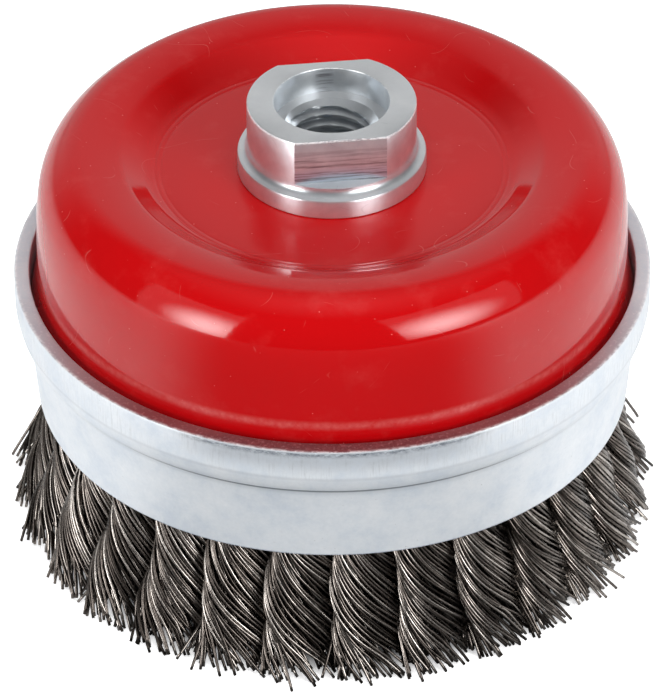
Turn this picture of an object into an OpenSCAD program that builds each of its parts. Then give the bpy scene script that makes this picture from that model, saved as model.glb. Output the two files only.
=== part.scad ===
// Twisted-knot wire cup brush with a bridle ring, for an angle grinder.
// Origin on the axis in the plane of the wire tips, +Z towards the arbor nut, millimetres.

/* [Brush] */
// Outer diameter of the bridle ring, which is the brush's nominal size
ring_d = 100; // [96:0.5:110]
// How far the wires stand below the bridle ring
trim_h = 22.4; // [16:0.2:28]
// Clearance of the parts that slip over each other, on the radius
slip_gap = 0.05; // [0.02:0.01:0.15]

/* [Arbor nut] */
// Width across the two wrench flats
nut_flats = 22; // [20:0.5:24]
// Diameter of the nut's round body
nut_d = 26.2; // [25:0.1:28]
// Height of the body above its flange
nut_body_h = 8.9; // [7:0.1:14]
// Height of the round band left between the flange and the flats
nut_collar_h = 1.3; // [0.8:0.1:2]
// Radius of the fillet where the body meets the flange
nut_fillet_r = 1.1; // [0.5:0.1:1.3]
// How far the flange stands out from the body
flange_out = 1.55; // [1.3:0.05:4]
// Thickness of the flange
flange_t = 3.25; // [2:0.05:4]
// Bevel on the nut's edges
nut_bevel = 0.4; // [0.2:0.05:0.8]
// Minor diameter of the M14 thread
thread_minor_d = 11.84; // [11.6:0.01:12.2]
// Diameter of the counterbore in the top
counterbore_d = 17.9; // [16:0.1:19]
// Depth of the counterbore
counterbore_h = 4.3; // [2:0.1:6]
// Angle of the cone from the counterbore into the thread
cone_angle = 120; // [90:5:130]
// Diameter of the shank that holds the sheets together
shank_d = 21; // [19:0.1:23]
// How far the shank's staked end spreads out from the shank
stake_out = 2; // [1:0.1:3.5]
// Height of the staked end below the lowest sheet
stake_h = 1.8; // [1:0.1:3]

/* [Cup] */
// Thickness of the pressed sheet
cup_t = 1.8; // [1.2:0.1:2.2]
// Height of the recessed floor above the bridle ring
floor_h = 17.75; // [14:0.25:22]
// Width of the cup outside the flat floor of its recess, out to its lip
crest_w = 21.35; // [19.55:0.05:25.5]
// Radius of the fillet from the floor to the slope
dish_r = 5.8; // [3:0.1:7]
// Steepness of the slope round the recess
dish_angle = 34; // [28:1:38]
// Radius of the roll from the slope onto the crest
crest_inner_r = 4; // [3:0.5:6]
// Radius of the gentle top of the crest
crest_top_r = 20; // [16:1:24]
// Radius of the roll from the crest into the shoulder
crest_outer_r = 4.5; // [3:0.5:6]
// How steep the gentle top of the crest begins
crest_angle = 15.6; // [10:0.2:20]
// Radius of the shoulder
shoulder_r = 10.6; // [8:0.1:13]
// Radius of the long bend from the shoulder into the wall
haunch_r = 40; // [30:1:50]
// How far the wall leans in from upright
wall_lean = 2; // [1:0.5:3]
// How far the lip flares out from upright
lip_lean = 14; // [8:1:18]
// Radius of the bends of the lip
lip_r = 6; // [4:0.5:8]
// Length of the flared stretch of the lip
lip_len = 3.2; // [1.5:0.1:4]

/* [Bridle ring] */
// Height of the ring
ring_h = 22.1; // [20:0.1:26]
// Width of the ring's top face
collar_t = 2.4; // [2:0.05:2.6]
// Height of the collar, from the top face to the outside step
collar_h = 8.1; // [7:0.1:9]
// How far the foot of the collar bends in
collar_bend = 0.9; // [0.5:0.1:1.2]
// Depth of the outside step
step_w = 1; // [0.6:0.1:1.3]
// How far the band tapers in from the step to its foot
band_taper = 1.1; // [0.5:0.1:2]
// Thickness of the band
band_t = 2; // [1.5:0.1:2.2]
// Radius of the ring's edges
edge_r = 0.45; // [0.2:0.05:0.6]

/* [Plates] */
// Thickness of the knot plate
knot_plate_t = 2; // [1.5:0.1:2.5]
// How far the knot plate's rim stays in from the foot of the band
rim_in = 7; // [6.5:0.1:8]
// Width of the knot plate's flange, from where it bends down to its rim
flange_w = 11; // [10:0.1:12]
// Steepness of the knot plate's flange
flange_angle = 50; // [46:1:54]
// Radius of that bend, on the upper face
plate_bend_r = 4; // [3:0.5:6]
// Gap round the wires in the holes that they are looped through
hole_gap = 0.4; // [0.3:0.05:0.6]
// Distance from a hole's centre to the rim, along the flange
wire_hole_in = 6.6; // [6:0.1:7.5]
// How far the clamp plate's edge stays in from the knot plate's bend
clamp_in = 3; // [2:0.1:7]
// Thickness of the clamp plate
clamp_plate_t = 2.5; // [2:0.1:3]

/* [Knots] */
// Number of knots round the brush
knot_count = 28; // [26:1:30]
// Gap between neighbouring knots
knot_gap = 0.15; // [0.1:0.05:0.4]
// Gap between the knots and the bridle ring
ring_gap = 0.4; // [0.2:0.1:0.8]
// How far the tips spread out past the foot of the band, from its inner face
tip_flare = 6.6; // [5:0.1:8]
// Length in which a knot turns once
lay = 32; // [28:1:40]
// Diameter of each leg of the looped bundle
leg_d = 3.8; // [3.4:0.1:4]
// Gap between a leg and the knot plate
leg_gap = 0.15; // [0.1:0.05:0.3]
// How much narrower a knot is across its two legs, as a share of its radius
waist = 0.06; // [0.02:0.02:0.16]
// Depth of the flutes between its strands, as a share of its radius
flute = 0.14; // [0.06:0.02:0.18]
// Number of strands that show round a knot
strands = 5; // [4:1:6]
// Angle of the first knot from +X
knot_phase = 0.7; // [0:0.1:12.8]

/* [Hidden] */
$fn = 96;
hair = 0.01;

// Heights of the sheets, from the bottom up
collar_top_z = trim_h + ring_h;
step_z = collar_top_z - collar_h;
shelf_z = step_z + band_t;
floor_z = collar_top_z + floor_h;
plate_top_z = floor_z - cup_t;
clamp_top_z = plate_top_z - knot_plate_t;
stake_top_z = clamp_top_z - clamp_plate_t;
shank_foot_z = stake_top_z - stake_h;
flange_top_z = floor_z + flange_t;
nut_top_z = flange_top_z + nut_body_h;

// Radii
ring_r = ring_d / 2;
collar_inner_r = ring_r - collar_t;
band_top_r = ring_r - collar_bend - step_w;
band_foot_r = band_top_r - band_taper;
hem_r = band_foot_r - band_t;
lip_outer_r = collar_inner_r - slip_gap;
floor_r = lip_outer_r - crest_w;
rim_r = hem_r - rim_in;
plate_bend_from_r = rim_r - flange_w;
clamp_plate_r = plate_bend_from_r - clamp_in;
wire_hole_d = leg_d + 2 * hole_gap;
body_r = nut_d / 2;
flange_r = body_r + flange_out;
shank_r = shank_d / 2;
stake_r = shank_r + stake_out;
shank_hole_r = shank_r + slip_gap;
thread_r = thread_minor_d / 2;
counterbore_r = counterbore_d / 2;

// Colours
paint_red = "#c8140f";
zinc = "#c3c9cd";
plate_steel = "#8d9092";
wire_steel = "#5d5751";

// Bent sheet, as a walk along its upper face: a place is [point, heading], and a move is
// [radius, turn, length], where a turn to the left is positive.
function last(v) = v[len(v) - 1];
function ahead(h) = [cos(h), sin(h)];
function leftward(h) = [-sin(h), cos(h)];
function bend(p, h, r, a) =
    let (steps = max(2, ceil(abs(a) / 8)), side = sign(a) * r, centre = p + side * leftward(h))
    [for (i = [1 : steps])
        let (g = h + a * i / steps) [centre - side * leftward(g), g]];
function walk(at, moves, i = 0) =
    i == len(moves) ? [at] :
    let (m = moves[i],
         part = m[1] == 0 ? [[at[0] + m[2] * ahead(at[1]), at[1]]] : bend(at[0], at[1], m[0], m[1]),
         rest = walk(last(part), moves, i + 1))
    concat([at], [for (k = [0 : 1 : len(part) - 2]) part[k]], rest);
function sheet_outline(way, t) =
    concat([for (w = way) w[0]],
           [for (k = [len(way) - 1 : -1 : 0]) way[k][0] - t * leftward(way[k][1])]);

// The cup's outer face, from the bore over the recess and the crest down to the lip.
// The slope brings the lip to its diameter, and the wall brings it down to its seat in the ring.
shoulder_from = 36.4;
shoulder_to = 81;
lip_foot_h = 1;
function cup_moves(slope, wall) = [
    [0, 0, floor_r - shank_hole_r],
    [dish_r, dish_angle, 0],
    [0, 0, slope],
    [crest_inner_r, crest_angle - dish_angle, 0],
    [crest_top_r, -crest_angle, 0],
    [crest_outer_r, -shoulder_from, 0],
    [shoulder_r, shoulder_from - shoulder_to, 0],
    [haunch_r, shoulder_to + wall_lean - 90, 0],
    [0, 0, wall],
    [lip_r, lip_lean - wall_lean, 0],
    [0, 0, lip_len],
    [lip_r, -lip_lean, 0],
    [0, 0, lip_foot_h]];
cup_start = [[shank_hole_r, floor_z], 0];
short_end = last(walk(cup_start, cup_moves(hair, hair)))[0];
missing_r = lip_outer_r - short_end[0];
missing_z = short_end[1] - shelf_z;
// Two headings, dish_angle and wall_lean from upright, make up what is missing
wall_len = (missing_z * cos(dish_angle) + missing_r * sin(dish_angle)) / cos(dish_angle - wall_lean);
slope_len = (missing_r - wall_len * sin(wall_lean)) / cos(dish_angle);

// The knot plate's upper face, down to the middle of its rim
plate_bend_rise = plate_bend_r * (1 - cos(flange_angle));
plate_bend_run = plate_bend_r * sin(flange_angle);
rim_upper_r = rim_r + knot_plate_t / 2 * sin(flange_angle);
flange_len = (rim_upper_r - plate_bend_from_r - plate_bend_run) / cos(flange_angle);
plate_moves = [
    [0, 0, plate_bend_from_r - shank_hole_r],
    [plate_bend_r, -flange_angle, 0],
    [0, 0, flange_len]];
rim_upper_z = plate_top_z - plate_bend_rise - flange_len * sin(flange_angle);
down_flange = ahead(-flange_angle);
off_flange = leftward(-flange_angle);
rim_mid = [rim_upper_r, rim_upper_z] - knot_plate_t / 2 * off_flange;
hole_mid = rim_mid - wire_hole_in * down_flange;

// Knots: each fills its share of the circle, so its radius follows from its distance from the axis
share = sin(180 / knot_count);
function knot_r(axis_r) = axis_r * share - knot_gap / 2;
function axis_r_for(outer_r) = (outer_r + knot_gap / 2) / (1 + share);
axis_at_hem = axis_r_for(hem_r - ring_gap);
axis_at_tip = axis_r_for(hem_r + tip_flare);
flare_bend = 1.15;
head_gap = 1.2;
head_out = 0.6;
head_z = rim_mid[1] - knot_plate_t / 2 * off_flange[1] - head_gap;
axis_at_head = rim_mid[0] + head_out;
function axis_r(z) =
    z > trim_h ? axis_at_hem + (axis_at_head - axis_at_hem) * (z - trim_h) / (head_z - trim_h)
               : axis_at_hem + (axis_at_tip - axis_at_hem) * pow(1 - z / trim_h, flare_bend);
function shape(a) = 1 - waist * (1 - cos(2 * a)) / 2 - flute * (1 - cos(strands * a)) / 2;
ring_points = 2 * strands;
open_rings = 10;
held_rings = 7;
function knot_ring(z) =
    let (c = axis_r(z), r = knot_r(c), twist = 360 * (head_z - z) / lay)
    [for (k = [0 : ring_points - 1])
        let (a = 360 * k / ring_points, g = a + twist)
        [c + r * shape(a) * cos(g), r * shape(a) * sin(g), z]];
knot_levels = concat([for (i = [0 : open_rings]) trim_h * i / open_rings],
                     [for (i = [1 : held_rings]) trim_h + (head_z - trim_h) * i / held_rings]);

// The looped bundle: out of the knot's head, up the flange, through its hole and back down
leg_r = leg_d / 2;
leg_off = knot_plate_t / 2 + leg_gap + leg_r;
leg_sink = 1.6;
leg_spread = knot_r(axis_at_head) * 0.52;
leg_past_rim = 0.8;
leg_sides = 5;
rim_turn = rim_mid + leg_past_rim * down_flange;
loop_way = [
    [axis_at_head + leg_spread, head_z - leg_sink],
    rim_turn + leg_off * off_flange,
    hole_mid + leg_off * off_flange,
    hole_mid - leg_off * off_flange,
    rim_turn - leg_off * off_flange,
    [axis_at_head - leg_spread, head_z - leg_sink]];
function unit(v) = v / norm(v);
function loop_ring(i) =
    let (n = len(loop_way), p = loop_way[i],
         into = i > 0 ? unit(p - loop_way[i - 1]) : unit(loop_way[1] - p),
         out = i < n - 1 ? unit(loop_way[i + 1] - p) : into,
         along = unit(into + out), across = [-along[1], along[0]],
         mitre = leg_r / (along * out))
    [for (k = [0 : leg_sides - 1])
        let (a = 360 * k / leg_sides, s = mitre * cos(a), w = leg_r * sin(a))
        [p[0] + s * across[0], w, p[1] + s * across[1]]];

// Closed skin over rings of points, each ring anticlockwise as seen from the last ring's side
module skin(rings) {
    n = len(rings[0]);
    m = len(rings);
    polyhedron(
        points = [for (ring = rings) each ring],
        faces = concat(
            [[for (k = [0 : n - 1]) k]],
            [for (i = [0 : m - 2], k = [0 : n - 1])
                let (a = i * n + k, b = i * n + (k + 1) % n) [a, a + n, b + n]],
            [for (i = [0 : m - 2], k = [0 : n - 1])
                let (a = i * n + k, b = i * n + (k + 1) % n) [a, b + n, b]],
            [[for (k = [n - 1 : -1 : 0]) (m - 1) * n + k]]),
        convexity = 6);
}

module cup() {
    color(paint_red)
    rotate_extrude()
        polygon(sheet_outline(walk(cup_start, cup_moves(slope_len + hair, wall_len + hair)), cup_t));
}

module nut_blank() {
    fillet_r = min(nut_fillet_r, flange_out - nut_bevel);
    fillet = bend([body_r, flange_top_z + fillet_r], -90, fillet_r, 90);
    rotate_extrude()
        polygon(concat(
            [[thread_r, shank_foot_z + nut_bevel], [thread_r + nut_bevel, shank_foot_z],
             [stake_r - nut_bevel, shank_foot_z], [stake_r, shank_foot_z + nut_bevel],
             [stake_r - nut_bevel, stake_top_z], [shank_r, stake_top_z], [shank_r, floor_z],
             [flange_r - nut_bevel / 2, floor_z], [flange_r, floor_z + nut_bevel / 2],
             [flange_r, flange_top_z - nut_bevel], [flange_r - nut_bevel, flange_top_z]],
            [for (k = [len(fillet) - 1 : -1 : 0]) fillet[k][0]],
            [[body_r, flange_top_z + fillet_r],
             [body_r, nut_top_z - nut_bevel], [body_r - nut_bevel, nut_top_z],
             [counterbore_r + nut_bevel, nut_top_z], [counterbore_r, nut_top_z - nut_bevel],
             [counterbore_r, counterbore_foot_z], [thread_r, cone_foot_z]]));
}
counterbore_foot_z = nut_top_z - counterbore_h;
cone_foot_z = counterbore_foot_z - (counterbore_r - thread_r) / tan(cone_angle / 2);

module arbor_nut() {
    color(zinc)
    difference() {
        nut_blank();
        for (side = [0, 180])
            rotate(side)
            translate([-nut_d / 2, nut_flats / 2, flange_top_z + nut_collar_h])
            cube([nut_d, nut_d, nut_body_h]);
    }
}

module bridle_ring() {
    foot_of_bend_z = step_z + edge_r;
    bend_top_z = step_z + collar_h * 0.45;
    lean = atan2(band_taper, step_z - trim_h);
    color(zinc)
    rotate_extrude()
        polygon([
            [hem_r, trim_h + edge_r], [hem_r + edge_r, trim_h],
            [band_foot_r - edge_r, trim_h], [band_foot_r, trim_h + edge_r],
            [band_top_r, step_z], [ring_r - collar_bend - edge_r / 2, step_z],
            [ring_r - collar_bend, foot_of_bend_z],
            [ring_r - collar_bend * 0.4, (foot_of_bend_z + bend_top_z) / 2],
            [ring_r, bend_top_z], [ring_r, collar_top_z - edge_r],
            [ring_r - edge_r, collar_top_z], [collar_inner_r + edge_r, collar_top_z],
            [collar_inner_r, collar_top_z - edge_r], [collar_inner_r, shelf_z],
            [band_top_r - band_t, shelf_z]]);
}

module knot_plate() {
    color(plate_steel)
    difference() {
        rotate_extrude()
            polygon(sheet_outline(walk([[shank_hole_r, plate_top_z], 0], plate_moves), knot_plate_t));
        for (i = [1 : knot_count])
            rotate(knot_angle(i))
            translate([hole_mid[0], 0, hole_mid[1]])
            rotate([0, 90 - flange_angle, 0])
            cylinder(d = wire_hole_d, h = 3 * knot_plate_t, center = true, $fn = 32);
    }
}

module clamp_plate() {
    bevel = clamp_plate_t / 5;
    color(plate_steel)
    rotate_extrude()
        polygon([[shank_hole_r, stake_top_z], [clamp_plate_r - bevel, stake_top_z],
                 [clamp_plate_r, stake_top_z + bevel], [clamp_plate_r, clamp_top_z],
                 [shank_hole_r, clamp_top_z]]);
}

function knot_angle(i) = knot_phase + (i - 1) * 360 / knot_count;
function knot_name(i) = str("knot_", i < 10 ? "0" : "", i);

module knot(i) {
    color(wire_steel)
    rotate(knot_angle(i))
    union() {
        skin([for (z = knot_levels) knot_ring(z)]);
        skin([for (k = [len(loop_way) - 1 : -1 : 0]) loop_ring(k)]);
    }
}

cup();
arbor_nut();
bridle_ring();
knot_plate();
clamp_plate();
for (i = [1 : knot_count])
    knot(i);
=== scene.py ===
"""Looks of a twisted-knot wire cup brush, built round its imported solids.

Origin on the axis in the plane of the wire tips, +Z towards the arbor nut. Sizes are in
millimetres until a mesh is made, and every piece lies in the place of the node it stands for.
"""

import math

import bpy
import numpy as np
from mathutils import Matrix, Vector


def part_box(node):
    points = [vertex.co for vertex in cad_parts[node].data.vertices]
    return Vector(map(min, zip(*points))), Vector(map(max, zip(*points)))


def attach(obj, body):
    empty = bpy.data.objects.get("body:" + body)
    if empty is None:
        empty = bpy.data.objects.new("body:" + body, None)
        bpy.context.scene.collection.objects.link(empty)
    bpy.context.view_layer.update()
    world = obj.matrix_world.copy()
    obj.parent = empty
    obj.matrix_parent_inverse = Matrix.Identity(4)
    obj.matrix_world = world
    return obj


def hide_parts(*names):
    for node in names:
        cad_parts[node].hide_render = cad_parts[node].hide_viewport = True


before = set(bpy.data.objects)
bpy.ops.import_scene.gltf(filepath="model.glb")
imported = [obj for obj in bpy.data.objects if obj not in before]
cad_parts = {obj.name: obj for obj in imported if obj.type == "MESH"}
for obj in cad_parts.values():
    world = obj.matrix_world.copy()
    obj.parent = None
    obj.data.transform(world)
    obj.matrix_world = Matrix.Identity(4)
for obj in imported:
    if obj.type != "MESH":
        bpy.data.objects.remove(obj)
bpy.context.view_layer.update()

MM = 0.001
FULL = 2 * math.pi
BODY = "root"


def node_size(node):
    """Lowest height, highest height and outer radius of a round node, in millimetres."""
    low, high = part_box(node)
    return low[2] / MM, high[2] / MM, (high[0] - low[0]) / 2 / MM


ring_low, collar_top, ring_r = node_size("bridle_ring")
cup_low, crest_z, lip_r = node_size("cup")
nut_low, nut_top, flange_r = node_size("arbor_nut")
plate_low, plate_top, rim_r = node_size("knot_plate")
KNOTS = sorted(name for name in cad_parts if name.startswith("knot_") and name[-1].isdigit())

# Sizes that several pieces share
SHEET_T = 1.8
FLOOR_Z = plate_top + SHEET_T
FLANGE_TOP = FLOOR_Z + 3.25
SHANK_HOLE_R = 10.55
STEP_Z = collar_top - 8.1


# Mesh helpers


def revolve(profile, columns):
    """A closed (r, z) outline carried round the axis: point (row, column) is
    (r cos a, r sin a, z) with a = column / columns of a full turn."""
    a = np.linspace(0, FULL, columns, endpoint=False)
    r = profile[:, :1]
    z = np.repeat(profile[:, 1:], columns, axis=1)
    return np.stack([r * np.cos(a), r * np.sin(a), z], axis=-1)


def grid_faces(rows, columns, closed):
    """Quads of a rows x columns grid of points whose rows are rings. If it is closed, the last
    row is joined to the first as well."""
    i = np.arange(rows if closed else rows - 1)[:, None]
    j = np.arange(columns)[None, :]
    i2 = (i + 1) % rows
    j2 = (j + 1) % columns
    quads = np.stack(np.broadcast_arrays(
        i * columns + j, i * columns + j2, i2 * columns + j2, i2 * columns + j), axis=-1)
    return quads.reshape(-1, 4)


def mesh_piece(name, points, faces, material, flat=()):
    """An object from points in millimetres and a list of face arrays, each with as many columns
    as its faces have corners. The arrays whose places are in flat stay unsmoothed."""
    mesh = bpy.data.meshes.new(name)
    mesh.vertices.add(len(points))
    mesh.vertices.foreach_set("co", (points * MM).astype(np.float32).ravel())
    corners = np.concatenate([part.ravel() for part in faces])
    sizes = np.concatenate([np.full(len(part), part.shape[1]) for part in faces])
    smooth = np.concatenate([np.full(len(part), k not in flat) for k, part in enumerate(faces)])
    mesh.loops.add(len(corners))
    mesh.loops.foreach_set("vertex_index", corners.astype(np.int32))
    mesh.polygons.add(len(sizes))
    mesh.polygons.foreach_set("loop_start", (np.cumsum(sizes) - sizes).astype(np.int32))
    mesh.polygons.foreach_set("use_smooth", smooth)
    mesh.update(calc_edges=True)
    mesh.validate()
    mesh.materials.append(material)
    piece = bpy.data.objects.new(name, mesh)
    bpy.context.scene.collection.objects.link(piece)
    return piece


def stand_for(piece, slot, *nodes):
    """The piece moves with the brush and stands for these nodes, which are hidden. The slot is not used."""
    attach(piece, BODY)
    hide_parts(*nodes)


def bent_sheet(start, moves, arc_step=math.radians(1.2), line_step=1.5):
    """Upper face of a bent sheet as points and headings. Each move is (radius, turn in degrees,
    length): an arc about the point one radius to the side of the turn, or a straight stretch."""
    point = np.array(start, dtype=float)
    heading = 0.0
    points = [point[None, :]]
    headings = [np.array([heading])]
    for radius, turn, length in moves:
        if turn:
            turn = math.radians(turn)
            side = math.copysign(radius, turn)
            centre = point + side * np.array([-math.sin(heading), math.cos(heading)])
            h = heading + turn * np.linspace(0, 1, 2 + int(abs(turn) / arc_step))[1:]
            stretch = centre - side * np.stack([-np.sin(h), np.cos(h)], axis=-1)
            heading += turn
        else:
            s = length * np.linspace(0, 1, 2 + int(length / line_step))[1:]
            stretch = point + s[:, None] * np.array([math.cos(heading), math.sin(heading)])
            h = np.full(len(s), heading)
        points.append(stretch)
        headings.append(h)
        point = stretch[-1]
    return np.concatenate(points), np.concatenate(headings)


# The photograph looks along +Y of a frame that is turned against the nut's flats
VIEW_TURN = math.radians(-7.1)


def turned(vector):
    """A vector of the photograph's frame, turned about the axis into the brush's."""
    c = math.cos(VIEW_TURN)
    s = math.sin(VIEW_TURN)
    return np.array([c * vector[0] - s * vector[1], s * vector[0] + c * vector[1], vector[2]])


FRONT = turned((0.0, -1.0, 0.0)).tolist()


# Materials


def linear(hexcode):
    """An sRGB hex colour as linear RGBA."""
    value = np.array([int(hexcode[i:i + 2], 16) for i in (1, 3, 5)]) / 255
    lin = np.where(value <= 0.04045, value / 12.92, ((value + 0.055) / 1.055) ** 2.4)
    return (*lin.tolist(), 1.0)


def node(material, kind, inputs=None, stops=(), out=0, **settings):
    """Adds a shader node and returns its output named or numbered out. inputs maps an input to
    the output or the plain value it takes; stops are a colour ramp's (place, sRGB hex). Inputs
    1 to 4 of a MapRange are the range it reads and the range it gives, 0 to 1 if left out."""
    tree = material.node_tree
    made = tree.nodes.new("ShaderNode" + kind)
    for name, value in settings.items():
        setattr(made, name, value)
    for key, value in (inputs or {}).items():
        if isinstance(value, bpy.types.NodeSocket):
            tree.links.new(value, made.inputs[key])
        else:
            made.inputs[key].default_value = value
    for k, (place, colour) in enumerate(stops):
        elements = made.color_ramp.elements
        element = elements[k] if k < len(elements) else elements.new(place)
        element.position = place
        element.color = linear(colour)
    return made.outputs[out]


def every(mm):
    """Texture scale whose pattern repeats about every so many millimetres of the object."""
    return 1 / (mm * MM)


def new_material(name, colour, roughness, metallic=0.0, specular=0.5):
    """A material with one Principled shader, whose plain values are on its own sockets."""
    material = bpy.data.materials.new(name)
    material.use_nodes = True
    shader = material.node_tree.nodes["Principled BSDF"]
    shader.inputs["Base Color"].default_value = linear(colour)
    shader.inputs["Roughness"].default_value = roughness
    shader.inputs["Metallic"].default_value = metallic
    shader.inputs["Specular IOR Level"].default_value = specular
    return material, shader


def drive(material, shader, **sources):
    """Links outputs to the shader's sockets, whose names have spaces for underscores."""
    for name, source in sources.items():
        material.node_tree.links.new(source, shader.inputs[name.replace("_", " ")])


def from_axis(material, position):
    """Distance from the brush's axis: the length of (x, y, 0)."""
    level = node(material, "VectorMath", {0: position, 1: (1, 1, 0)}, operation="MULTIPLY")
    return node(material, "VectorMath", {0: level}, operation="LENGTH", out="Value")


def near(material, value, centre, reach):
    """1 where a length in metres equals the centre, falling to 0 at the reach, both in millimetres."""
    off = node(material, "Math", {0: value, 1: centre * MM}, operation="SUBTRACT")
    size = node(material, "Math", {0: off}, operation="ABSOLUTE")
    return node(material, "MapRange", {0: size, 1: 0.0, 2: reach * MM, 3: 1.0, 4: 0.0},
                interpolation_type="SMOOTHSTEP")


def hairlines(material, position, spacing, width):
    """Hair scratches: the lines where a slow noise passes its middle value, broken up by another."""
    slow = node(material, "TexNoise", {"Vector": position, "Scale": every(spacing), "Detail": 0.0})
    off = node(material, "Math", {0: slow, 1: 0.5}, operation="SUBTRACT")
    size = node(material, "Math", {0: off}, operation="ABSOLUTE")
    line = node(material, "MapRange", {0: size, 1: 0.0, 2: width, 3: 1.0, 4: 0.0})
    patches = {"Vector": position, "Scale": every(spacing * 0.45), "Detail": 1.0}
    some = node(material, "MapRange", {0: node(material, "TexNoise", patches), 1: 0.57, 2: 0.63})
    return node(material, "Math", {0: line, 1: some}, operation="MULTIPLY")


def specks(material, position, spacing, size):
    """Specks: the middles of those Voronoi cells whose own random value is high."""
    cells = {"Vector": position, "Scale": every(spacing)}
    distance = node(material, "TexVoronoi", cells, out="Distance")
    chance = node(material, "SeparateXYZ", {0: node(material, "TexVoronoi", cells, out="Color")})
    chosen = node(material, "MapRange", {0: chance, 1: 0.5, 2: 0.55})
    spot = node(material, "MapRange", {0: distance, 1: size / spacing, 2: 0.4 * size / spacing})
    return node(material, "Math", {0: spot, 1: chosen}, operation="MULTIPLY")


def lay_marks(material, colour, *marks):
    """The colour with marks laid over it, each over the last. A mark is its sRGB hex, a strength
    and masks: it hides strength * the product of the masks of what lies below it."""
    for over, strength, *masks in marks:
        share = strength
        for mask in masks:
            share = node(material, "Math", {0: mask, 1: share}, operation="MULTIPLY")
        colour = node(material, "Mix", {0: share, 6: colour, 7: linear(over)}, data_type="RGBA", out=2)
    return colour


def cup_paint():
    """Red baking enamel on a pressed steel cup. It mirrors the lamps sharply on the shoulder and
    softly on the satin floor round the nut. A slight orange peel and the sheet's own waves bend
    the mirrored edges, dust specks, scuffs and hair scratches show as pale marks, and small chips
    are dark. A pale band just above the ring is a painted reflection of the ring, and the wall's
    foot down in the ring is painted darker as shade."""
    m, shader = new_material("red_baking_enamel", "#b90509", 0.1)
    position = node(m, "TexCoord", out="Object")
    height = node(m, "SeparateXYZ", {0: position}, out="Z")
    radius = from_axis(m, position)
    broad = node(m, "TexNoise", {"Vector": position, "Scale": every(7), "Detail": 5.0, "Roughness": 0.6})
    fine = node(m, "TexNoise", {"Vector": position, "Scale": every(0.9), "Detail": 2.0})
    on_floor = node(m, "MapRange", {0: radius, 1: 27.8 * MM, 2: 25.5 * MM}, interpolation_type="SMOOTHSTEP")
    # Below the ring's top the wall keeps a darker red: painted shade down in the ring.
    above_foot = node(m, "MapRange", {0: height, 1: (collar_top - 0.8) * MM, 2: (collar_top + 0.9) * MM})
    scuff = node(m, "MapRange", {0: broad, 1: 0.56, 2: 0.78})
    dust = specks(m, position, 1.7, 0.13)
    nick = specks(m, position, 6, 0.17)
    scratch = hairlines(m, position, 9, 0.0035)
    pale = node(m, "Math", {0: scratch, 1: 0.6, 2: dust}, operation="MULTIPLY_ADD")
    # A pale band just above the ring: a painted reflection of the ring's top face.
    painted_ring_reflection = near(m, height, collar_top + 2.2, 1.1)
    thickness = node(m, "Math", {0: broad, 1: 0.4}, operation="ADD")
    colour = lay_marks(
        m, linear("#a0060b"),
        ("#b90509", 1.0, above_foot),
        ("#d8605c", 0.2, scuff, fine),
        ("#e6a49c", 0.24, pale),
        ("#d8837e", 0.5, painted_ring_reflection, fine, thickness),
        ("#5e0507", 0.6, nick),
    )
    rough = 0.07
    for mask, more in ((on_floor, 0.11), (scuff, 0.1), (dust, 0.3)):
        rough = node(m, "Math", {0: mask, 1: more, 2: rough}, operation="MULTIPLY_ADD")
    peel = node(m, "TexNoise", {"Vector": position, "Scale": every(1.3), "Detail": 1.0})
    sheet = node(m, "TexNoise", {"Vector": position, "Scale": every(13), "Detail": 1.0})
    relief = node(m, "Math", {0: sheet, 1: 7.0, 2: peel}, operation="MULTIPLY_ADD")
    bump = node(m, "Bump", {"Height": relief, "Strength": 1.0, "Distance": 0.006 * MM})
    drive(m, shader, Base_Color=colour, Roughness=rough, Normal=bump)
    return m


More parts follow.
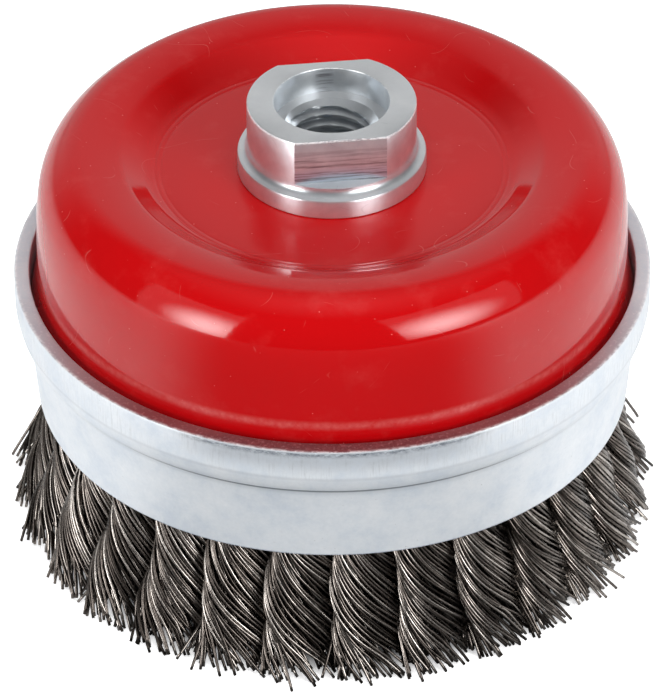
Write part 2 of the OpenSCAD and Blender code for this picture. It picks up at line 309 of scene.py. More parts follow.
def zinc_turned():
    """Blue-white zinc over turned and milled steel. The cutter's level lines stretch its
    reflections, the ends show turning rings, and the flats show dark torn lines, with a painted
    pale blue reflection at their foot. The top's edge is worn pale and dull, partly as a painted
    highlight. Real cutter lines are about 0.1 mm apart, and these are drawn coarser, so that they
    show."""
    m, shader = new_material("blue_zinc_on_turned_steel", "#e3e6e9", 0.3, 0.85)
    shader.inputs["Anisotropic"].default_value = 0.7
    shader.inputs["Anisotropic Rotation"].default_value = 0.25
    position = node(m, "TexCoord", out="Object")
    height = node(m, "SeparateXYZ", {0: position}, out="Z")
    radius = from_axis(m, position)
    facing = node(m, "TexCoord", out="Normal")
    up = node(m, "Math", {0: node(m, "SeparateXYZ", {0: facing}, out="Z")}, operation="ABSOLUTE")
    across = node(m, "Math", {0: node(m, "SeparateXYZ", {0: facing}, out="Y")}, operation="ABSOLUTE")
    is_end = node(m, "MapRange", {0: up, 1: 0.85, 2: 0.97})
    is_slope = node(m, "Math", {0: up, 1: 0.55, 2: 0.35}, operation="COMPARE")
    on_body = node(m, "MapRange", {0: height, 1: (FLANGE_TOP + 0.05) * MM, 2: (FLANGE_TOP + 0.45) * MM})
    squarely = node(m, "MapRange", {0: across, 1: 0.985, 2: 0.998})
    is_flat = node(m, "Math", {0: squarely, 1: on_body}, operation="MULTIPLY")
    end_radius = node(m, "Math", {0: radius, 1: is_end}, operation="MULTIPLY")
    rings = node(m, "CombineXYZ", {0: end_radius, 2: height})
    cutter = node(m, "TexNoise", {"Vector": rings, "Scale": every(0.42), "Detail": 3.0, "Roughness": 0.65})
    level_way = node(m, "VectorMath", {0: position, 1: (0.03, 0.03, 1.0)}, operation="MULTIPLY")
    torn = node(m, "TexNoise", {"Vector": level_way, "Scale": every(0.5), "Detail": 4.0, "Roughness": 0.75})
    cloud = node(m, "TexNoise", {"Vector": position, "Scale": every(3.5), "Detail": 5.0, "Roughness": 0.6})
    grain = node(m, "TexNoise", {"Vector": position, "Scale": every(0.3), "Detail": 2.0})
    zinc = node(m, "ValToRGB", {0: cloud}, stops=((0.3, "#d6dbe0"), (0.55, "#e2e7eb"), (0.75, "#eff2f4")))
    lines = node(m, "MapRange", {0: torn, 1: 0.4, 2: 0.52, 3: 1.0, 4: 0.0})
    worn = node(m, "MapRange", {0: grain, 1: 0.36, 2: 0.56})
    # The top's rounded edge, worn pale and dull: partly real wear, partly a painted highlight.
    top_edge = node(m, "Math", {0: is_slope, 1: near(m, height, nut_top - 0.2, 0.7)}, operation="MULTIPLY")
    worn_edge_and_highlight = node(m, "Math", {0: top_edge, 1: worn}, operation="MULTIPLY")
    colour = lay_marks(
        m, zinc,
        # Painted pale blue reflection at the foot of the flats.
        ("#bcd2ea", 0.6, is_flat, near(m, height, FLANGE_TOP + 2.35, 2.2)),
        ("#6f6a72", 0.85, is_flat, lines),
        ("#fafbfc", 0.5, is_end),
        ("#f7f9fa", 1.0, worn_edge_and_highlight),
        ("#7f848a", 0.2, hairlines(m, position, 6, 0.006)),
    )
    rough = 0.24
    for mask, more in ((cloud, 0.1), (grain, 0.04), (is_end, 0.12)):
        rough = node(m, "Math", {0: mask, 1: more, 2: rough}, operation="MULTIPLY_ADD")
    metal = node(m, "Math", {0: worn_edge_and_highlight, 1: -0.55, 2: 0.85}, operation="MULTIPLY_ADD")
    torn_flat = node(m, "Math", {0: torn, 1: is_flat}, operation="MULTIPLY")
    relief = 0.0
    for pattern, depth in ((cutter, 0.6), (torn_flat, 2.0)):
        relief = node(m, "Math", {0: pattern, 1: depth, 2: relief}, operation="MULTIPLY_ADD")
    bump = node(m, "Bump", {"Height": relief, "Strength": 1.0, "Distance": 0.012 * MM})
    round_way = node(m, "Tangent", direction_type="RADIAL", axis="Z")
    drive(m, shader, Base_Color=colour, Roughness=rough, Metallic=metal, Normal=bump, Tangent=round_way)
    return m


def zinc_rolled():
    """Blue-white zinc over a rolled steel ring: satin, so it spreads the lamps into one even
    sheen, and clouded by the plating bath. Upright drawing streaks lie on the collar and a few
    small stains anywhere. Painted shade lies under the step and faintly at the bead above it. The
    collar's front is painted darker as a reflection of what lies in front, and a ragged dark patch
    along its top front edge is partly a rubbed smudge and partly that painted reflection. The top's
    outer edge is worn pale, partly as a painted highlight, and its face is painted darker all round
    and red towards the front, a painted reflection of the paint there. The streaks are drawn
    coarser than the real ones, so that they show."""
    m, shader = new_material("blue_zinc_on_rolled_steel", "#e4eaf0", 0.42, 0.22)
    position = node(m, "TexCoord", out="Object")
    height = node(m, "SeparateXYZ", {0: position}, out="Z")
    radius = from_axis(m, position)
    front = node(m, "VectorMath", {0: position, 1: FRONT}, operation="DOT_PRODUCT", out="Value")
    cloud = node(m, "TexNoise", {"Vector": position, "Scale": every(7), "Detail": 7.0, "Roughness": 0.7})
    grain = node(m, "TexNoise", {"Vector": position, "Scale": every(0.55), "Detail": 2.0})
    upright = node(m, "VectorMath", {0: position, 1: (1, 1, 0.08)}, operation="MULTIPLY")
    drawn = node(m, "TexNoise", {"Vector": upright, "Scale": every(0.26), "Detail": 3.0, "Roughness": 0.6})
    long_way = node(m, "VectorMath", {0: position, 1: (0.5, 0.5, 1.0)}, operation="MULTIPLY")
    ragged = node(m, "TexNoise", {"Vector": long_way, "Scale": every(0.5), "Detail": 5.0, "Roughness": 0.7})
    zinc = node(m, "ValToRGB", {0: cloud}, stops=((0.32, "#d8e1eb"), (0.5, "#e7edf3"), (0.68, "#f0f4f8")))

    patchy = node(m, "MapRange", {0: cloud, 1: 0.42, 2: 0.62})
    on_collar = node(m, "MapRange", {0: height, 1: (STEP_Z + 2.6) * MM, 2: (STEP_Z + 3.8) * MM})
    outside = node(m, "MapRange", {0: radius, 1: (ring_r - 0.5) * MM, 2: (ring_r - 0.2) * MM})
    streak = node(m, "MapRange", {0: drawn, 1: 0.5, 2: 0.72})
    streak = node(m, "Math", {0: streak, 1: on_collar}, operation="MULTIPLY")
    streak = node(m, "Math", {0: streak, 1: outside}, operation="MULTIPLY")

    # Painted shade along the step, on the band under it and, faintly, at the bead's top.
    step_shade = 0.0
    for above, reach, depth in ((0.0, 0.3, 1.0), (-0.72, 0.34, 0.6), (-0.6, 1.3, 0.2), (2.9, 0.5, 0.12)):
        line = near(m, height, STEP_Z + above, reach)
        step_shade = node(m, "Math", {0: line, 1: depth, 2: step_shade}, operation="MULTIPLY_ADD")

    in_front = node(m, "MapRange", {0: front, 1: 43 * MM, 2: 47.5 * MM}, interpolation_type="SMOOTHSTEP")
    # A ragged dark patch on the collar's top front edge: partly a rubbed smudge, partly a painted dark
    # reflection of what lies in front.
    rubbed = node(m, "MapRange", {0: ragged, 1: 0.32, 2: 0.6})
    smudge_and_dark_reflection = node(m, "Math", {0: in_front, 1: rubbed}, operation="MULTIPLY")
    smudge_and_dark_reflection = node(m, "Math", {0: smudge_and_dark_reflection, 1: near(m, height, collar_top - 0.35, 1.1)}, operation="MULTIPLY")

    # The top face: painted darker all round, and red towards the front as a painted reflection of the paint
    # there.
    top = node(m, "MapRange", {0: height, 1: (collar_top - 0.12) * MM, 2: (collar_top - 0.02) * MM})
    fleck = node(m, "MapRange", {0: grain, 1: 0.55, 2: 0.68})
    towards_front = node(m, "MapRange", {0: front, 1: 8 * MM, 2: 40 * MM})
    painted_red_reflection = node(m, "Math", {0: top, 1: towards_front}, operation="MULTIPLY")
    # The top's outer edge, worn pale: partly real wear, partly a painted highlight.
    worn = node(m, "MapRange", {0: ragged, 1: 0.4, 2: 0.56})
    worn_edge_and_highlight = node(m, "Math", {0: worn, 1: near(m, height, collar_top, 0.5)}, operation="MULTIPLY")
    worn_edge_and_highlight = node(m, "Math", {0: worn_edge_and_highlight, 1: near(m, radius, ring_r - 0.2, 0.5)}, operation="MULTIPLY")
    stain = node(m, "MapRange", {0: ragged, 1: 0.66, 2: 0.74})
    soiled = node(m, "MapRange", {0: cloud, 1: 0.5, 2: 0.6})
    colour = lay_marks(
        m, zinc,
        ("#98a0a9", 0.14, grain),
        ("#7c8186", 0.32, streak, patchy),
        ("#3a424c", 1.0, step_shade),
        ("#6d84a6", 0.6, near(m, height, ring_low, 0.55)),
        ("#454d5a", 1.0, smudge_and_dark_reflection),
        # The collar's front painted darker: a painted reflection of the dark room in front.
        ("#7f868f", 0.9, near(m, height, collar_top - 1.5, 3.5), in_front, cloud),
        ("#a03c42", 0.72, painted_red_reflection),
        ("#8d9499", 0.3, top),
        ("#e4e0e0", 0.35, top, fleck),
        ("#f2f4f5", 0.6, worn_edge_and_highlight),
        ("#6d6f6c", 0.8, stain, soiled),
    )
    rough = 0.34
    for mask in (cloud, smudge_and_dark_reflection):
        rough = node(m, "Math", {0: mask, 1: 0.2, 2: rough}, operation="MULTIPLY_ADD")
    metal = 0.22
    for mask, more in ((painted_red_reflection, 0.68), (worn_edge_and_highlight, -0.36)):
        metal = node(m, "Math", {0: mask, 1: more, 2: metal}, operation="MULTIPLY_ADD")
    relief = grain
    for pattern, depth in ((ragged, 1.5), (streak, 1.0)):
        relief = node(m, "Math", {0: pattern, 1: depth, 2: relief}, operation="MULTIPLY_ADD")
    bump = node(m, "Bump", {"Height": relief, "Strength": 1.0, "Distance": 0.007 * MM})
    drive(m, shader, Base_Color=colour, Roughness=rough, Metallic=metal, Normal=bump)
    return m


def plate_steel():
    """Bare pressed steel of the plates inside the cup: a dull grey with darker oily clouds and
    pale hair scratches."""
    m, shader = new_material("bare_pressed_steel", "#8d8f90", 0.45, 1.0)
    position = node(m, "TexCoord", out="Object")
    cloud = node(m, "TexNoise", {"Vector": position, "Scale": every(6), "Detail": 6.0, "Roughness": 0.6})
    steel = node(m, "ValToRGB", {0: cloud}, stops=((0.35, "#6f706f"), (0.5, "#8d8f90"), (0.7, "#a1a3a5")))
    colour = lay_marks(m, steel, ("#c4c6c8", 0.6, hairlines(m, position, 5, 0.01)))
    rough = node(m, "MapRange", {0: cloud, 1: 0.3, 2: 0.7, 3: 0.36, 4: 0.55})
    drive(m, shader, Base_Color=colour, Roughness=rough)
    return m


def wire_steel():
    """Oil-tempered high carbon steel wire. A tone of its own makes each wire nearly black or
    brown-grey, its smooth round back mirrors the lamps as one thin bright line, and patches of
    scale dull it."""
    m, shader = new_material("oil_tempered_steel_wire", "#6a625b", 0.24, 1.0)
    tone = node(m, "Attribute", attribute_name="tone", out="Fac")
    steel = node(m, "ValToRGB", {0: tone}, stops=((0.0, "#3a3531"), (0.45, "#7c746e"), (1.0, "#c6bfb8")))
    position = node(m, "TexCoord", out="Object")
    scale = node(m, "TexNoise", {"Vector": position, "Scale": every(1.6), "Detail": 3.0})
    dull = node(m, "MapRange", {0: scale, 1: 0.4, 2: 0.7})
    colour = lay_marks(m, steel, ("#332e2b", 0.4, dull))
    rough = node(m, "Math", {0: dull, 1: 0.16, 2: 0.2}, operation="MULTIPLY_ADD")
    drive(m, shader, Base_Color=colour, Roughness=rough)
    return m


def white_paper():
    """Matt white background paper. It shows white to the camera round the brush's shadow. To all
    other rays it darkens towards the front, so that what the brush mirrors there is dark."""
    m, shader = new_material("white_floor", "#fafafa", 0.9, specular=0.0)
    shader.inputs["Emission Color"].default_value = (1, 1, 1, 1)
    position = node(m, "TexCoord", out="Object")
    radius = from_axis(m, position)
    front = node(m, "VectorMath", {0: position, 1: FRONT}, operation="DOT_PRODUCT", out="Value")
    towards_front = node(m, "Math", {0: front, 1: radius}, operation="DIVIDE")
    dark = node(m, "MapRange", {0: towards_front, 1: 0.45, 2: 0.85}, interpolation_type="SMOOTHSTEP")
    bright = node(m, "Math", {0: 1.0, 1: dark}, operation="SUBTRACT")
    seen = node(m, "LightPath", out="Is Camera Ray")
    unseen = node(m, "Math", {0: 1.0, 1: seen}, operation="SUBTRACT")
    colour = lay_marks(m, linear("#fafafa"), ("#6e6e6e", 1.0, dark, unseen))
    bright_unseen = node(m, "Math", {0: bright, 1: unseen}, operation="MULTIPLY")
    lift = 0.0
    for rays, level in ((seen, 0.75), (bright_unseen, 0.15)):
        lift = node(m, "Math", {0: rays, 1: level, 2: lift}, operation="MULTIPLY_ADD")
    outside = node(m, "MapRange", {0: radius, 1: 42 * MM, 2: 52 * MM}, interpolation_type="SMOOTHSTEP")
    lift = node(m, "Math", {0: lift, 1: outside}, operation="MULTIPLY")
    drive(m, shader, Base_Color=colour, Emission_Strength=lift)
    return m


PAINT = cup_paint()
NUT_ZINC = zinc_turned()
RING_ZINC = zinc_rolled()
PLATE = plate_steel()
WIRE = wire_steel()
PAPER = white_paper()


# Camera, at the photograph's place

VIEW_ELEVATION = math.radians(36.42)
VIEW_ROLL = math.radians(-0.229)
VIEW_DISTANCE = 782.6
VIEW_TARGET = (0.448, 0.0, 26.69)
FOCAL_PX = 4912.3
FRAME_HEIGHT_PX = 700
SENSOR = 36


def make_camera():
    """Camera on a sphere round its target, rolled a little, with the photograph's focal length."""
    ce = math.cos(VIEW_ELEVATION)
    se = math.sin(VIEW_ELEVATION)
    cr = math.cos(VIEW_ROLL)
    sr = math.sin(VIEW_ROLL)
    right = np.array([1.0, 0.0, 0.0])
    up = np.array([0.0, se, ce])
    back = np.array([0.0, -ce, se])
    place = (np.array(VIEW_TARGET) + VIEW_DISTANCE * back) * MM
    axes = [cr * right + sr * up, cr * up - sr * right, back]
    data = bpy.data.cameras.new("camera")
    data.sensor_width = SENSOR
    data.lens = SENSOR * FOCAL_PX / FRAME_HEIGHT_PX
    data.clip_start = 0.01
    camera = bpy.data.objects.new("camera", data)
    bpy.context.scene.collection.objects.link(camera)
    matrix = np.eye(4)
    matrix[:3, :3] = np.stack([turned(axis) for axis in axes], axis=1)
    matrix[:3, 3] = turned(place)
    camera.matrix_world = Matrix(matrix.tolist())
    bpy.context.scene.camera = camera


# Cup

FLOOR_R = 26.2
CUP_COLUMNS = 288
DIE_MARKS = ((26.6, 0.05), (27.5, 0.07))
# Slopes of the outer face on its way out, in degrees: up to the crest, down from it, and the
# lean of the wall and of the flared lip from upright
DISH_ANGLE = 34
CREST_RISE = 15.6
CREST_FALL = 36.4
SHOULDER_FALL = 81
WALL_LEAN = 2
LIP_FLARE = 14


def cup_moves(slope, wall):
    """Bends and stretches of the cup's outer face, from its bore over the floor, the dish's slope,
    the crest, the shoulder and the wall to the lip in the ring."""
    return [
        (0, 0, FLOOR_R - SHANK_HOLE_R),
        (5.8, DISH_ANGLE, 0),
        (0, 0, slope),
        (4, CREST_RISE - DISH_ANGLE, 0),
        (20, -CREST_RISE, 0),
        (4.5, -CREST_FALL, 0),
        (10.6, CREST_FALL - SHOULDER_FALL, 0),
        (40, SHOULDER_FALL + WALL_LEAN - 90, 0),
        (0, 0, wall),
        (6, LIP_FLARE - WALL_LEAN, 0),
        (0, 0, 3.2),
        (6, -LIP_FLARE, 0),
        (0, 0, 1),
    ]


def cup_outline():
    """Outer face, then the inner face one sheet thickness below it at every second point. The
    slope and the wall take the lengths that bring the lip to its radius and to its seat."""
    start = (SHANK_HOLE_R, FLOOR_Z)
    hair = 0.01
    end = bent_sheet(start, cup_moves(hair, hair))[0][-1]
    missing_r = lip_r - end[0]
    missing_z = end[1] - cup_low
    dish = math.radians(DISH_ANGLE)
    lean = math.radians(WALL_LEAN)
    wall = (missing_z * math.cos(dish) + missing_r * math.sin(dish)) / math.cos(dish - lean)
    slope = (missing_r - wall * math.sin(lean)) / math.cos(dish)
    outer, h = bent_sheet(start, cup_moves(slope + hair, wall + hair))
    inner = outer - SHEET_T * np.stack([-np.sin(h), np.cos(h)], axis=-1)
    inner = np.concatenate([inner[:-1:2], inner[-1:]])
    # Shallow creases that the stamping die left round the floor, as (radius, depth)
    for mark_r, depth in DIE_MARKS:
        below_crest = outer[:, 1] < crest_z - 2
        outer[:, 1] -= depth * np.exp(-((outer[:, 0] - mark_r) / 0.22) ** 2) * below_crest
    return np.concatenate([outer, inner[::-1]])


def make_cup():
    """The pressed cup."""
    outline = cup_outline()
    points = revolve(outline, CUP_COLUMNS)
    quads = grid_faces(len(outline), CUP_COLUMNS, True)[:, ::-1]
    piece = mesh_piece("cup_shell", points.reshape(-1, 3), [quads], PAINT)
    piece.data.set_sharp_from_angle(angle=math.radians(35))
    stand_for(piece, "cup_paint", "cup")


# Bridle ring

RING_COLUMNS = 288


def round_corners(corners, steps=4):
    """A closed outline whose corners (r, z, radius) are rounded by a quadratic curve."""
    c = np.array(corners, dtype=float)
    place = c[:, :2]
    before = np.roll(place, 1, axis=0) - place
    after = np.roll(place, -1, axis=0) - place
    len_b = np.linalg.norm(before, axis=1)
    len_a = np.linalg.norm(after, axis=1)
    cut = np.minimum(c[:, 2], 0.48 * np.minimum(len_b, len_a))
    p0 = place + before * (cut / len_b)[:, None]
    p2 = place + after * (cut / len_a)[:, None]
    t = np.linspace(0, 1, steps + 1)[None, :, None]
    curve = (1 - t) ** 2 * p0[:, None] + 2 * t * (1 - t) * place[:, None] + t ** 2 * p2[:, None]
    return curve.reshape(-1, 2)


def make_ring():
    """The rolled ring: a collar that holds the cup's lip, a bead at its foot, an outside step
    and the band with its turned-in hem."""
    shelf_z = STEP_Z + 2
    collar_in = ring_r - 2.4
    band_top = ring_r - 1.9
    band_foot = band_top - 1.1
    hem = band_foot - 2
    corners = [
        (hem, ring_low, 0.45), (band_foot, ring_low, 0.45), (band_top, STEP_Z, 0.12),
        (ring_r - 0.95, STEP_Z, 0.5), (ring_r - 0.42, STEP_Z + 1.1, 0.8),
        (ring_r - 0.07, STEP_Z + 2.6, 0.6), (ring_r, STEP_Z + 3.2, 0.5),
        (ring_r, collar_top, 0.35), (collar_in, collar_top, 0.3),
        (collar_in, shelf_z, 0.1), (band_top - 2, shelf_z, 0.3),
    ]
    outline = round_corners(corners)
    points = revolve(outline, RING_COLUMNS)
    quads = grid_faces(len(outline), RING_COLUMNS, True)
    piece = mesh_piece("ring_band", points.reshape(-1, 3), [quads], RING_ZINC)
    piece.data.set_sharp_from_angle(angle=math.radians(40))
    stand_for(piece, "ring_zinc", "bridle_ring")


# Arbor nut

NUT_R = 13.1
FLAT_HALF = 11.0
NUT_COLUMNS = 240
THREAD_MINOR_R = 5.92
THREAD_MAJOR_R = 7.0
THREAD_PITCH = 2.0
THREAD_START = 1.09


def nut_columns():
    """Angles round the nut, with one exactly on each edge of the two flats."""
    edge = math.asin(FLAT_HALF / NUT_R)
    even = np.linspace(0, FULL, NUT_COLUMNS, endpoint=False)
    edges = np.array([edge, math.pi - edge, math.pi + edge, FULL - edge])
    for e in edges:
        even[np.argmin(np.abs(even - e))] = e
    return even


def thread_radius(z, a):
    """Right-hand 60 degree thread: the radius falls from the major one in the root by 1.73 for
    each millimetre along the axis, down to the minor one."""
    turn = ((z - THREAD_START) / THREAD_PITCH - a / FULL) % 1.0
    from_root = np.abs(turn - 0.5) * THREAD_PITCH
    depth = (from_root - THREAD_PITCH / 16) / math.tan(math.radians(30))
    return THREAD_MAJOR_R - np.clip(depth, 0, THREAD_MAJOR_R - THREAD_MINOR_R)


def make_nut():
    """The turned nut as one grid: up the flange, the fillet and the body, over the top, down the
    bore and the thread, and round the staked end to the shank. Above the ledge the radius is cut
    to the flats: r = min(r, half width / |sin a|)."""
    a = nut_columns()
    ledge = FLANGE_TOP + 1.3
    shank_r = 10.5
    stake_r = 12.5
    stake_top = nut_low + 1.8
    fillet = 1.1
    bevel = 0.4
    bevel_mid = 0.12
    bore_r = 8.95
    bore_foot = nut_top - 4.3
    bore_rim = 0.18
    shoulder_r = 7.3
    thread_step = 0.125
    t = np.linspace(0, math.pi / 2, 7)
    turn_in = np.stack([NUT_R + fillet - fillet * np.sin(t), FLANGE_TOP + fillet - fillet * np.cos(t)], 1)
    outside = np.concatenate([
        [[shank_r, FLOOR_Z], [flange_r - 0.2, FLOOR_Z], [flange_r, FLOOR_Z + 0.2]],
        [[flange_r, FLANGE_TOP - bevel], [flange_r - bevel_mid, FLANGE_TOP - bevel_mid],
         [flange_r - bevel, FLANGE_TOP]],
        turn_in,
        [[NUT_R, ledge]],
    ])
    cut = np.array([[NUT_R, ledge], [NUT_R, nut_top - bevel], [NUT_R - bevel_mid, nut_top - bevel_mid],
                    [NUT_R - bevel, nut_top]])
    flat_half = FLAT_HALF - np.array([0.0, 0.0, bevel_mid, bevel])
    flat_r = flat_half[:, None] / np.maximum(np.abs(np.sin(a)), 1e-6)[None, :]
    t = np.linspace(0, math.pi / 2, 5)
    wall = np.concatenate([
        np.stack([bore_r + bore_rim * (1 - np.sin(t)), nut_top - bore_rim * (1 - np.cos(t))], 1),
        np.stack([np.full(6, bore_r), np.linspace(nut_top - 1, bore_foot + 0.3, 6)], 1),
    ])
    z = np.arange(bore_foot, nut_low, -thread_step)
    # The thread runs out into a cone at each end
    shoulder = bore_foot - thread_step
    cone = np.where(z > shoulder, bore_r, shoulder_r - 1.5 * (shoulder - z))
    lower_cone = THREAD_MINOR_R + (nut_low + 0.9 - z) * 1.2
    bore = np.maximum(thread_radius(z[:, None], a[None, :]), np.maximum(cone, lower_cone)[:, None])
    bore = np.minimum(bore, bore_r)
    under = np.array([[stake_r - 0.4, nut_low], [stake_r, nut_low + bevel],
                      [stake_r - 0.4, stake_top], [shank_r, stake_top]])

    def rows(profile):
        """Radii and heights of a round profile at every column."""
        return np.repeat(profile[:, :1], len(a), axis=1), np.repeat(profile[:, 1:], len(a), axis=1)

    parts = [
        rows(outside),
        (np.minimum(cut[:, :1], flat_r), np.repeat(cut[:, 1:], len(a), axis=1)),
        rows(wall),
        (bore, np.repeat(z[:, None], len(a), axis=1)),
        rows(under),
    ]
    r = np.concatenate([p[0] for p in parts])
    h = np.concatenate([p[1] for p in parts])
    points = np.stack([r * np.cos(a), r * np.sin(a), h], axis=-1)
    quads = grid_faces(len(r), len(a), True)
    piece = mesh_piece("nut_body", points.reshape(-1, 3), [quads], NUT_ZINC)
    piece.data.set_sharp_from_angle(angle=math.radians(28))
    stand_for(piece, "nut_zinc", "arbor_nut")


# Knots

KNOT_COUNT = len(KNOTS)
KNOT_PHASE = math.radians(0.7)
# Half a knot's share of the circle, as a part of the radius it stands at
HALF_SHARE = math.sin(math.pi / KNOT_COUNT)
KNOT_GAP = 0.15
HEAD_Z = 46.15
# Distances of a knot's middle line from the brush's axis
AXIS_AT_HEAD = 38.6
AXIS_AT_HEM = 40.18
AXIS_AT_TIP = 46.47
FLARE_POWER = 1.15
LAY = 42.0
WIRE_R = 0.25
TIP_R = 54.0
# Wires in a knot, from its skin to its core, as (count, share of its radius)
LAYERS = ((50, 1.0), (32, 0.85), (20, 0.64), (8, 0.38))
OUTER = sum(count for count, share in LAYERS[:2])
KNOT_SEED = 700
STRAY_SHARE = 0.05
# Heights at which wires leave the lay
LOOSE_FROM = (1.5, 6.5)
STRAY_FROM = (6, 11)
# Unevenness of a knot's outline, as (lobes, share of its radius)
LOBES = ((2, 0.05), (3, 0.045), (5, 0.05))
OPEN_STEPS = 20
HELD_STEPS = 4


def knot_axis(z):
    """Distance of a knot's middle line from the brush's axis: straight inside the ring, and
    below it the flare grows with a power of the drop."""
    held = AXIS_AT_HEM + (AXIS_AT_HEAD - AXIS_AT_HEM) * (z - ring_low) / (HEAD_Z - ring_low)
    drop = np.clip(1 - z / ring_low, 0, None)
    free = AXIS_AT_HEM + (AXIS_AT_TIP - AXIS_AT_HEM) * drop ** FLARE_POWER
    return np.where(z > ring_low, held, free)


def lay_wires(z, a, depth):
    """Middle lines of wires in a knot: a point keeps its angle and depth in an oval section that
    turns once in each lay. Below the ring the oval is wide and leans, so that the knot's one side
    lies over its neighbour like a shingle: out = thickness * cos - lean * across. Returns the
    distance from the brush's axis and the offset round the brush, in millimetres."""
    middle = knot_axis(z)
    reach = middle * HALF_SHARE - KNOT_GAP / 2 - WIRE_R
    turn = a + FULL * (HEAD_Z - z) / LAY
    wide = np.interp(z, [0, ring_low / 2, ring_low, ring_low + 9], [1.3, 1.4, 1.32, 1.06])
    thick = np.interp(z, [ring_low, ring_low + 9], [0.86, 1.0])
    lean = np.interp(z, [ring_low, ring_low + 9], [0.35, 0.12])
    across = reach * depth * wide * np.sin(turn)
    out = reach * depth * thick * np.cos(turn) - lean * across
    return middle + out, across


def in_knot(i, out, across, z):
    """Points of knot i from their distance out and their offset across, turned to its place."""
    g = KNOT_PHASE + i * FULL / KNOT_COUNT
    x = out * math.cos(g) - across * math.sin(g)
    y = out * math.sin(g) + across * math.cos(g)
    return np.stack([x, y, z], axis=-1)


def knot_wires(i, rng):
    """Paths of all wires in knot i as an array (wire, point, xyz), and each wire's tone. A wire's
    angle wanders by 0.035 sin(0.35 z + its own phase). A few millimetres above its tip it leaves
    the lay and runs straight on, along a share of its last direction plus a lean of its own, and
    strays leave it higher up and lean more. Past the outermost radius a tip is bent back softly:
    out = limit - log(1 + exp(1.5 (limit - out))) / 1.5."""
    count = sum(n for n, _ in LAYERS)
    base = np.concatenate([np.arange(n) / n * FULL + rng.uniform(0, FULL) for n, _ in LAYERS])
    depth = np.concatenate([np.full(n, share) for n, share in LAYERS])
    a = base + rng.normal(0, 0.02, count)
    lobes = sum(size * np.cos(k * a + rng.uniform(0, FULL)) for k, size in LOBES)
    depth = depth * (1 + lobes) + rng.normal(0, 0.012, count)
    tip = np.abs(rng.normal(0, 1.0, count)) + 0.1
    loose = rng.uniform(*LOOSE_FROM, count)
    stray = rng.random(count) < STRAY_SHARE
    loose = np.where(stray, rng.uniform(*STRAY_FROM, count), loose)
    keep_out = rng.uniform(0.2, 0.8, count)
    keep_across = rng.uniform(0.6, 1.1, count)
    astray = np.where(stray, 0.14, 0.05)
    lean_out = 0.18 + rng.normal(0, 1.0, count) * astray
    lean_across = rng.normal(0, 1.0, count) * astray
    tone = np.clip(rng.normal(0.42, 0.27, count), 0, 1)
    open_z = tip[:, None] + (ring_low - tip[:, None]) * np.linspace(0, 1, OPEN_STEPS + 1) ** 1.1
    held_z = ring_low + (HEAD_Z - ring_low) * np.linspace(0, 1, HELD_STEPS + 1)[1:]
    z = np.concatenate([open_z, np.repeat(held_z[None, :], count, axis=0)], axis=1)
    a = a[:, None] + 0.035 * np.sin(z * 0.35 + rng.uniform(0, FULL, count)[:, None])
    depth = depth[:, None]
    held = np.maximum(z, loose[:, None])
    out, across = lay_wires(held, a, depth)
    h = 0.1
    out_2, across_2 = lay_wires(held + h, a, depth)
    drop = np.clip(loose[:, None] - z, 0, None)
    out = out - drop * ((out_2 - out) / h * keep_out[:, None] - lean_out[:, None])
    across = across - drop * ((across_2 - across) / h * keep_across[:, None] - lean_across[:, None])
    out = TIP_R - np.log1p(np.exp((TIP_R - out) * 1.5)) / 1.5
    return in_knot(i, out, across, z), tone


def tube_points(paths, radius, sides):
    """Rings of points round each path: the ring's plane is square to the path, and its first
    direction is the one away from the brush's axis."""
    along = np.gradient(paths, axis=1)
    along /= np.linalg.norm(along, axis=-1, keepdims=True)
    out = paths * np.array([1, 1, 0])
    out -= (out * along).sum(-1, keepdims=True) * along
    out /= np.linalg.norm(out, axis=-1, keepdims=True)
    side = np.cross(along, out)
    a = (np.arange(sides) + 0.5) / sides * FULL
    c = np.cos(a)[:, None]
    s = np.sin(a)[:, None]
    return paths[:, :, None] + radius * (c * out[:, :, None] + s * side[:, :, None])


def tube_faces(wires, length, sides):
    """Faces of tubes with square ends: the quads round them, and the two ends of each."""
    around = grid_faces(length, sides, False)
    ends = np.array([np.arange(sides)[::-1], (length - 1) * sides + np.arange(sides)])
    first = (np.arange(wires) * length * sides)[:, None, None]
    return (around[None] + first).reshape(-1, 4), (ends[None] + first).reshape(-1, sides)


# The looped bundle over the knot plate's rim: its legs' radius, the middle of the rim as
# (distance out, height), and the directions down the rim's flange and square to it
LEG_R = 1.85
RIM_MID = np.array([38.0, 48.04])
DOWN_FLANGE = np.array([math.cos(math.radians(-50)), math.sin(math.radians(-50))])
OFF_FLANGE = np.array([-DOWN_FLANGE[1], DOWN_FLANGE[0]])


def loop_tube(i):
    """The bundle's skin, an oval swept round the plate's rim with fourteen ridges of wire:
    the radius is the leg's radius times 0.94 + 0.07 |cos 7a|."""
    turn = RIM_MID + 0.8 * DOWN_FLANGE
    hole = RIM_MID - 6.6 * DOWN_FLANGE
    off = 3.05 * OFF_FLANGE
    way = np.array([[40.8, 44.2], turn + off, hole + off, hole + 0.55 * off, hole - 0.55 * off,
                    hole - off, turn - off, [36.4, 44.2]])
    steps = 26
    t = np.linspace(0, len(way) - 1, steps)
    k = np.arange(len(way))
    path = np.stack([np.interp(t, k, way[:, 0]), np.interp(t, k, way[:, 1])], axis=-1)
    # Three rounds of averaging with the neighbours round its corners off
    for _ in range(3):
        path[1:-1] = (path[:-2] + 2 * path[1:-1] + path[2:]) / 4
    along = np.gradient(path, axis=0)
    along /= np.linalg.norm(along, axis=-1, keepdims=True)
    across = np.stack([-along[:, 1], along[:, 0]], axis=-1)
    sides = 28
    a = np.arange(sides) / sides * FULL
    r = LEG_R * (0.94 + 0.07 * np.abs(np.cos(7 * a + 0.2 * t[:, None])))
    u = r * np.cos(a)
    out = path[:, :1] + u * across[:, :1]
    z = path[:, 1:] + u * across[:, 1:]
    points = in_knot(i, out, r * np.sin(a), z)
    return points.reshape(-1, 3), grid_faces(len(path), sides, False)


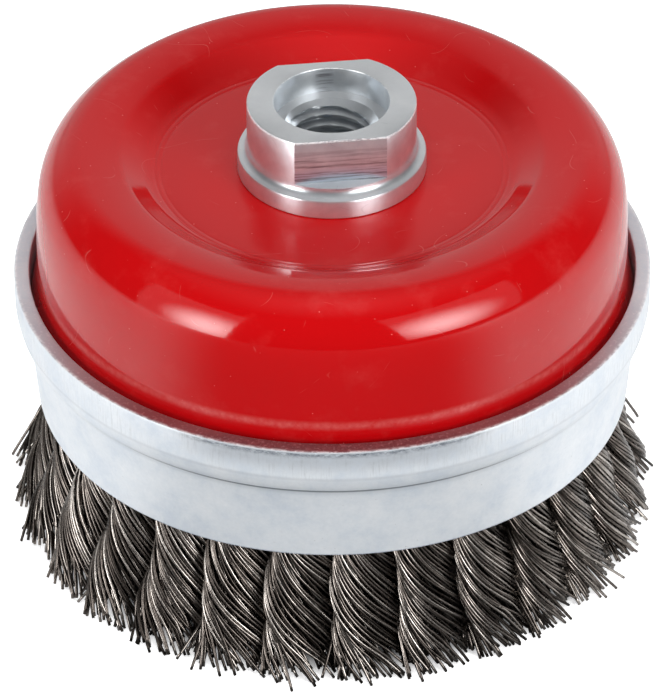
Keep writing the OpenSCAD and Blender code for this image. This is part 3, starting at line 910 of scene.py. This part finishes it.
def make_knots():
    """Each knot: its wires, and the looped bundle that holds them to the plate. The inner wires,
    hardly seen, take every second point and have four sides."""
    for i, name in enumerate(KNOTS):
        rng = np.random.default_rng(KNOT_SEED + i)
        paths, tone = knot_wires(i, rng)
        points = []
        faces = []
        tones = []
        for wire_paths, wire_tone, sides in (
                (paths[:OUTER], tone[:OUTER], 5), (paths[OUTER:, ::2], tone[OUTER:], 4)):
            wires, length = wire_paths.shape[:2]
            first = sum(len(part) for part in points)
            points.append(tube_points(wire_paths, WIRE_R, sides).reshape(-1, 3))
            quads, ends = tube_faces(wires, length, sides)
            faces += [ends + first, quads + first]
            tones.append(np.repeat(wire_tone, length * sides))
        loop_points, loop_quads = loop_tube(i)
        faces.append(loop_quads + sum(len(part) for part in points))
        points.append(loop_points)
        tones = np.concatenate(tones + [np.full(len(loop_points), 0.4)])
        piece = mesh_piece("wires_" + name[-2:], np.concatenate(points), faces, WIRE, flat=(0, 2))
        layer = piece.data.attributes.new("tone", "FLOAT", "POINT")
        layer.data.foreach_set("value", tones.astype(np.float32))
        stand_for(piece, "wire_steel", name)


# Lamps, floor and background

LAMP_TARGET = np.array([0.0, 0.0, 40 * MM])


def place_lamp(name, azimuth, elevation, distance, width, height, power, bright_side):
    """A softbox that faces the brush. Azimuth 0 is the camera's side and grows to its right. The
    lamp behind its cloth stands bright_side of the way across, and the cloth is brightest there."""
    a = math.radians(azimuth)
    e = math.radians(elevation)
    away = turned((math.sin(a) * math.cos(e), -math.cos(a) * math.cos(e), math.sin(e)))
    light = bpy.data.lights.new(name, "AREA")
    light.shape = "RECTANGLE"
    light.size = width
    light.size_y = height
    light.energy = power
    light.use_nodes = True
    place = node(light, "TexCoord", out="UV")
    off = node(light, "VectorMath", {0: place, 1: (bright_side, 0.35, 0.0)}, operation="DISTANCE",
               out="Value")
    level = node(light, "MapRange", {0: off, 1: 0.0, 2: 0.55, 3: 5.5, 4: 0.25},
                 interpolation_type="SMOOTHSTEP")
    light.node_tree.links.new(level, light.node_tree.nodes["Emission"].inputs["Strength"])
    lamp = bpy.data.objects.new(name, light)
    bpy.context.scene.collection.objects.link(lamp)
    side = np.cross([0.0, 0.0, 1.0], away)
    side /= np.linalg.norm(side)
    matrix = np.eye(4)
    matrix[:3, 0] = side
    matrix[:3, 1] = np.cross(away, side)
    matrix[:3, 2] = away
    matrix[:3, 3] = distance * away + LAMP_TARGET
    lamp.matrix_world = Matrix(matrix.tolist())
    return lamp


def make_room():
    """The room as the brush mirrors it: dim in front, a little paler overhead, and a lit backdrop
    behind. Its level is the higher of two ramps, over the direction's share towards the back and
    over its share upwards. The camera sees white."""
    world = bpy.data.worlds.new("studio")
    bpy.context.scene.world = world
    world.use_nodes = True
    tree = world.node_tree
    direction = node(world, "TexCoord", out="Generated")
    back = node(world, "VectorMath", {0: direction, 1: turned((0.0, 1.0, 0.1)).tolist()},
                operation="DOT_PRODUCT", out="Value")
    wall = node(world, "MapRange", {0: back, 1: 0.35, 2: 1.05, 3: 0.07, 4: 0.64},
                interpolation_type="SMOOTHSTEP")
    high = node(world, "SeparateXYZ", {0: direction}, out="Z")
    ceiling = node(world, "MapRange", {0: high, 1: 0.6, 2: 1.0, 3: 0.0, 4: 0.3},
                   interpolation_type="SMOOTHSTEP")
    level = node(world, "Math", {0: wall, 1: ceiling}, operation="MAXIMUM")
    room = node(world, "Background", {"Color": (1, 1, 1, 1), "Strength": level})
    seen = node(world, "Background", {"Color": (1, 1, 1, 1), "Strength": 1.0})
    is_camera = node(world, "LightPath", out="Is Camera Ray")
    mix = node(world, "MixShader", {0: is_camera, 1: room, 2: seen})
    tree.links.new(mix, tree.nodes["World Output"].inputs["Surface"])


def make_stage():
    """White paper under the wire tips, a softbox on each side in front, a fill from above that
    isn't mirrored, and the room."""
    half = 6.0
    corners = [(-half, -half, 0), (half, -half, 0), (half, half, 0), (-half, half, 0)]
    mesh = bpy.data.meshes.new("floor")
    mesh.from_pydata(corners, [], [(0, 1, 2, 3)])
    mesh.materials.append(PAPER)
    floor = bpy.data.objects.new("floor", mesh)
    bpy.context.scene.collection.objects.link(floor)
    place_lamp("softbox_left", azimuth=-55, elevation=16, distance=1.0,
               width=0.66, height=0.78, power=3.6, bright_side=0.75)
    place_lamp("softbox_right", azimuth=48, elevation=24, distance=1.0,
               width=0.86, height=0.72, power=3.9, bright_side=0.35)
    fill = place_lamp("overhead_fill", azimuth=0, elevation=80, distance=1.2,
                      width=1.2, height=1.2, power=5.8, bright_side=0.5)
    fill.visible_glossy = False
    make_room()
    bpy.context.scene.view_settings.view_transform = "Standard"


def dress_plates():
    """The two hidden plates keep their solid meshes and take the bare steel."""
    for name in ("knot_plate", "clamp_plate"):
        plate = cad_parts[name]
        plate.data.materials.clear()
        plate.data.materials.append(PLATE)


make_camera()
make_cup()
make_ring()
make_nut()
make_knots()
dress_plates()
make_stage()
